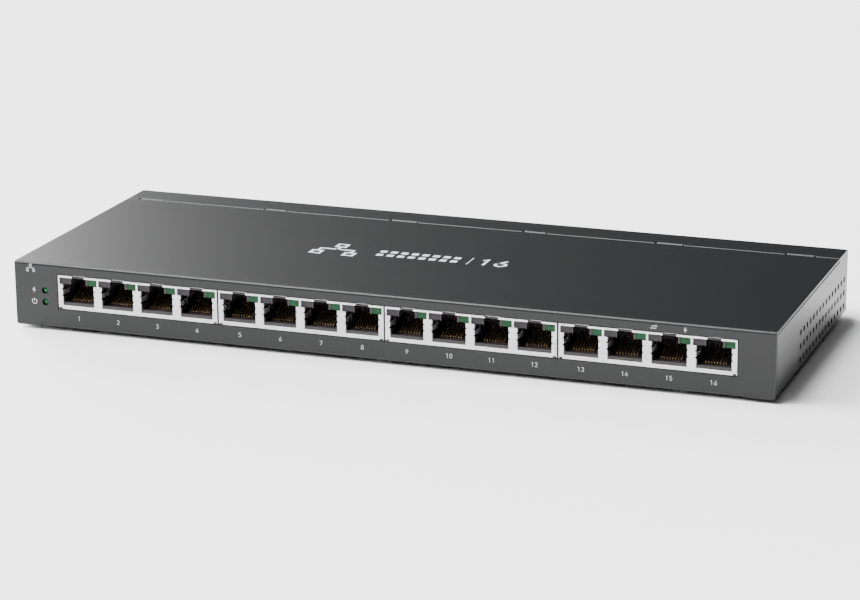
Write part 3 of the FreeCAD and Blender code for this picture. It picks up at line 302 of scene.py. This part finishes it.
# Each digit as pen strokes in a box 0.6 wide and 1 high.
DIGITS = {
    "0": [arc(0.3, 0.5, 0.28, 0.48, 90, 450, 24)],
    "1": [[(0.12, 0.78), (0.34, 0.97), (0.34, 0.0)]],
    "2": [arc(0.3, 0.70, 0.26, 0.27, 165, -35) + [(0.04, 0.03), (0.58, 0.03)]],
    "3": [arc(0.29, 0.73, 0.24, 0.24, 150, -80) + arc(0.28, 0.27, 0.28, 0.25, 80, -150)],
    "4": [[(0.62, 0.25), (0.03, 0.25), (0.40, 0.97)], [(0.45, 0.62), (0.45, 0.0)]],
    "5": [[(0.54, 0.97), (0.12, 0.97), (0.07, 0.52)] + arc(0.29, 0.31, 0.28, 0.29, 120, -150)],
    "6": [[(0.46, 0.97), (0.10, 0.46)] + arc(0.30, 0.29, 0.27, 0.27, 150, -210, 20)],
    "7": [[(0.03, 0.97), (0.57, 0.97), (0.20, 0.0)]],
    "8": [arc(0.3, 0.74, 0.22, 0.23, -90, 270, 20), arc(0.3, 0.27, 0.27, 0.25, 90, 450, 20)],
    "9": [[(0.14, 0.03), (0.50, 0.54)] + arc(0.30, 0.71, 0.27, 0.27, -30, 330, 20)],
}


def stroke(bm, points, width):
    """Flat ribbon of even width along a pen stroke."""
    count = len(points)
    edges = []
    for index in range(count):
        x, y = points[index]
        before = points[max(index - 1, 0)]
        after = points[min(index + 1, count - 1)]
        into = Vector((x - before[0], y - before[1])).normalized() if index else None
        out = Vector((after[0] - x, after[1] - y)).normalized() if index < count - 1 else None
        along = ((into or out) + (out or into)).normalized()
        corner = max(along.dot(out or into), SHARPEST)
        side = Vector((-along.y, along.x)) * (width / 2 / corner)
        edges.append(((x + side.x, y + side.y), (x - side.x, y - side.y)))
    for (left_a, right_a), (left_b, right_b) in zip(edges, edges[1:]):
        polygon(bm, [right_a, right_b, left_b, left_a])


def number_shape(text, height, pen=PEN):
    """Flat mesh of a number in thin strokes, centred across and standing on y = 0."""
    bm = bmesh.new()
    for place, digit in enumerate(text):
        shift = (place - (len(text) - 1) / 2) * DIGIT_STEP * height - DIGIT_HALF * height
        for points in DIGITS[digit]:
            stroke(bm, [(shift + x * height, y * height) for x, y in points], pen * height)
    return bm


def polygon(bm, points):
    bm.faces.new([bm.verts.new((x, y, 0)) for x, y in points])


def bar(bm, x0, y0, x1, y1):
    polygon(bm, [(x0, y0), (x1, y0), (x1, y1), (x0, y1)])


def ring(bm, radius, width, start, end, steps=24):
    """Part of a flat ring between two angles in degrees."""
    for step in range(steps):
        a = math.radians(start + (end - start) * step / steps)
        b = math.radians(start + (end - start) * (step + 1) / steps)
        inner, outer = radius - width / 2, radius + width / 2
        polygon(bm, [(inner * math.cos(a), inner * math.sin(a)), (outer * math.cos(a), outer * math.sin(a)),
                     (outer * math.cos(b), outer * math.sin(b)), (inner * math.cos(b), inner * math.sin(b))])


def power_mark(size):
    bm = bmesh.new()
    ring(bm, size * 0.42, size * 0.13, 125, 415)
    bar(bm, -size * 0.065, size * 0.05, size * 0.065, size * 0.55)
    return bm


def bolt_mark(size):
    bm = bmesh.new()
    shape = [(0.12, 0.55), (-0.30, -0.06), (-0.02, -0.06), (-0.12, -0.55), (0.30, 0.08), (0.02, 0.08)]
    polygon(bm, [(x * size, y * size) for x, y in shape])
    return bm


def link_mark(size):
    """Two arrows pointing apart."""
    bm = bmesh.new()
    for way, lift in ((1, 0.16), (-1, -0.16)):
        bar(bm, -0.34 * size, (lift - 0.05) * size, 0.34 * size, (lift + 0.05) * size)
        tip = 0.55 * size * way
        back = 0.26 * size * way
        polygon(bm, [(back, (lift - 0.16) * size), (tip, lift * size), (back, (lift + 0.16) * size)])
    return bm


def network_mark(size):
    """Three boxes joined by lines: the general sign for a wired network."""
    bm = bmesh.new()
    half, line = 0.14 * size, 0.034 * size
    for x, y in ((0, 0.30), (-0.38, -0.30), (0.38, -0.30)):
        cx, cy = x * size, y * size
        bar(bm, cx - half, cy - half, cx + half, cy - half + 2 * line)
        bar(bm, cx - half, cy + half - 2 * line, cx + half, cy + half)
        bar(bm, cx - half, cy - half + 2 * line, cx - half + 2 * line, cy + half - 2 * line)
        bar(bm, cx + half - 2 * line, cy - half + 2 * line, cx + half, cy + half - 2 * line)
    bar(bm, -line, -line, line, 0.30 * size - half)
    bar(bm, -0.38 * size - line, -line, 0.38 * size + line, line)
    bar(bm, -0.38 * size - line, -0.30 * size + half, -0.38 * size + line, -line)
    bar(bm, 0.38 * size - line, -0.30 * size + half, 0.38 * size + line, -line)
    return bm


def socket_map(width):
    """Two rows of eight small squares, one for each socket."""
    bm = bmesh.new()
    columns = PORTS // 2
    pitch = width / columns
    half = pitch * 0.31
    for column in range(columns):
        for lift in (-0.55, 0.55):
            x, y = (column - (columns - 1) / 2) * pitch, lift * pitch
            bar(bm, x - half, y - half, x + half, y + half)
    return bm


def place_mark(name, bm, placement):
    """Print one sign, given as a flat mesh, on the case."""
    thicken(bm, INK)
    bm.transform(placement)
    return mesh_piece(name, bm, INK_MATERIAL)


def port_centres():
    """Middle of each socket, left to right, from its spring contacts."""
    spans = [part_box(f"port_contacts_{number:02d}") for number in range(1, PORTS + 1)]
    return [(low.x + high.x) / 2 for low, high in spans]


def print_marks():
    print_port_numbers()
    print_lamp_signs()
    print_top_signs()


def print_port_numbers():
    """Number of each socket, below it."""
    for number, x in enumerate(port_centres(), start=1):
        place_mark(f"port_number_{number:02d}", number_shape(str(number), NUMBER_HEIGHT),
                   on_front(x, FLOOR_OF_CASE + NUMBER_FOOT))


def print_lamp_signs():
    """Signs beside the two status lamps, above sockets 15 and 16, and in the corner."""
    low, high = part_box("status_lamps")
    beside = low.x - 3.4 * MM
    corner = low.x - 4.5 * MM
    place_mark("supply_mark", bolt_mark(2.4 * MM), on_front(beside, high.z - LAMP_RADIUS))
    place_mark("power_mark", power_mark(2.2 * MM), on_front(beside, low.z + LAMP_RADIUS))
    above = FLOOR_OF_CASE + SIGN_ROW
    socket_15 = port_centres()[PORTS - 2]
    apart = 5.5 * MM
    place_mark("link_mark", link_mark(2.4 * MM), on_front(socket_15 - apart, above))
    place_mark("feed_mark", bolt_mark(2.0 * MM), on_front(socket_15 + apart, above))
    place_mark("front_network_mark", network_mark(3.4 * MM), on_front(corner, above))


def print_top_signs():
    """Network sign, map of the sockets, divider and the number of sockets."""
    sign_x, map_x, divider_x, count_x = -36 * MM, -4 * MM, 16 * MM, 25 * MM
    half_wide, half_high = 0.15 * MM, 4.5 * MM
    place_mark("network_mark", network_mark(17 * MM), on_top(sign_x, TOP_ROW))
    place_mark("socket_map", socket_map(33 * MM), on_top(map_x, TOP_ROW))
    divider = bmesh.new()
    bar(divider, -half_wide, -half_high, half_wide, half_high)
    place_mark("divider_mark", divider, on_top(divider_x, TOP_ROW))
    place_mark("socket_count", number_shape(str(PORTS), COUNT_HEIGHT, pen=0.14),
               on_top(count_x, TOP_ROW - COUNT_HEIGHT / 2))


# ------------------------------------------------------------ studio
FLOOR_HALF = 6.0                # half the side of the paper sheet, in metres


def make_floor():
    bm = bmesh.new()
    bmesh.ops.create_grid(bm, x_segments=1, y_segments=1, size=FLOOR_HALF)
    mesh = bpy.data.meshes.new("floor")
    bm.to_mesh(mesh)
    bm.free()
    t = Tree("floor_paper")
    cloud = t.noise(3.0, 2.0, 0.5)
    tone = t.blend(t.span(cloud, 0.0, 1.0), rgb(0.93, 0.93, 0.93), rgb(0.95, 0.95, 0.95))
    mesh.materials.append(t.finish(Base_Color=tone, Roughness=0.9, Specular_IOR_Level=0.1))
    floor = bpy.data.objects.new("floor", mesh)
    floor.location.z = cad_low.z
    bpy.context.scene.collection.objects.link(floor)


def lobe(nodes, links, direction, azimuth, elevation, inner, outer, strength):
    """Soft round glow in the studio dome; azimuth 0 is straight behind the object, 90 to its left."""
    a, e = math.radians(azimuth), math.radians(elevation)
    aim = (-math.sin(a) * math.cos(e), math.cos(a) * math.cos(e), math.sin(e))
    dot = nodes.new("ShaderNodeVectorMath")
    dot.operation = "DOT_PRODUCT"
    links.new(direction, dot.inputs[0])
    dot.inputs[1].default_value = aim
    ramp = nodes.new("ShaderNodeMapRange")
    ramp.interpolation_type = "SMOOTHSTEP"
    ramp.inputs["From Min"].default_value = math.cos(math.radians(outer))
    ramp.inputs["From Max"].default_value = math.cos(math.radians(inner))
    ramp.inputs["To Min"].default_value = 0.0
    ramp.inputs["To Max"].default_value = strength
    links.new(dot.outputs["Value"], ramp.inputs["Value"])
    return ramp.outputs["Result"]


DOME_STRENGTH = 0.02            # light of the dome away from its banks
# azimuth, elevation, full-strength radius, faded-out radius (degrees), strength
STUDIO_LOBES = [
    (130, 64, 8, 14, 26.0),     # spot high at the left front, caught by folds and bevels
    (47, 62, 8, 14, 14.0),      # spot high at the left back, caught by the sloped tabs
    (100, 34, 10, 26, 26.0),    # bank at the left
    (176, 38, 8, 24, 3.0),      # fill from the front
    (46.8, 13, 10, 17, 58.0),   # card low at the back left
]


def make_world():
    """Studio dome: faint everywhere, with soft banks of light."""
    world = bpy.data.worlds.new("studio")
    bpy.context.scene.world = world
    world.use_nodes = True
    nodes, links = world.node_tree.nodes, world.node_tree.links
    direction = nodes.new("ShaderNodeTexCoord").outputs["Generated"]
    total = None
    for settings in STUDIO_LOBES:
        glow = lobe(nodes, links, direction, *settings)
        add = nodes.new("ShaderNodeMath")
        add.operation = "ADD"
        links.new(glow, add.inputs[0])
        if total is None:
            add.inputs[1].default_value = DOME_STRENGTH
        else:
            links.new(total, add.inputs[1])
        total = add.outputs[0]
    links.new(total, nodes["Background"].inputs["Strength"])
    nodes["Background"].inputs["Color"].default_value = (1, 1, 1, 1)


# camera solved from the case corners and sockets in the photograph
CAMERA_ANGLES = (20.004, 16.355, 0.447)             # azimuth, elevation and roll in degrees
CAMERA_SPOT = Vector((0.35935, -0.99013, 0.31716))
CAMERA_LENS = 124.3
CAMERA_SENSOR = 36.0


def make_camera():
    azimuth, elevation, roll = (math.radians(angle) for angle in CAMERA_ANGLES)
    back = Vector((math.sin(azimuth) * math.cos(elevation), -math.cos(azimuth) * math.cos(elevation),
                   math.sin(elevation)))
    right = Vector((0, 0, 1)).cross(back).normalized()
    up = back.cross(right)
    turned = right * math.cos(roll) - up * math.sin(roll)
    raised = right * math.sin(roll) + up * math.cos(roll)
    data = bpy.data.cameras.new("camera")
    data.sensor_width = CAMERA_SENSOR
    data.lens = CAMERA_LENS
    camera = bpy.data.objects.new("camera", data)
    camera.matrix_world = Matrix((
        (turned.x, raised.x, back.x, CAMERA_SPOT.x),
        (turned.y, raised.y, back.y, CAMERA_SPOT.y),
        (turned.z, raised.z, back.z, CAMERA_SPOT.z),
        (0, 0, 0, 1)))
    bpy.context.scene.collection.objects.link(camera)
    bpy.context.scene.camera = camera


dress_frame()
print_marks()
make_floor()
make_world()
make_camera()
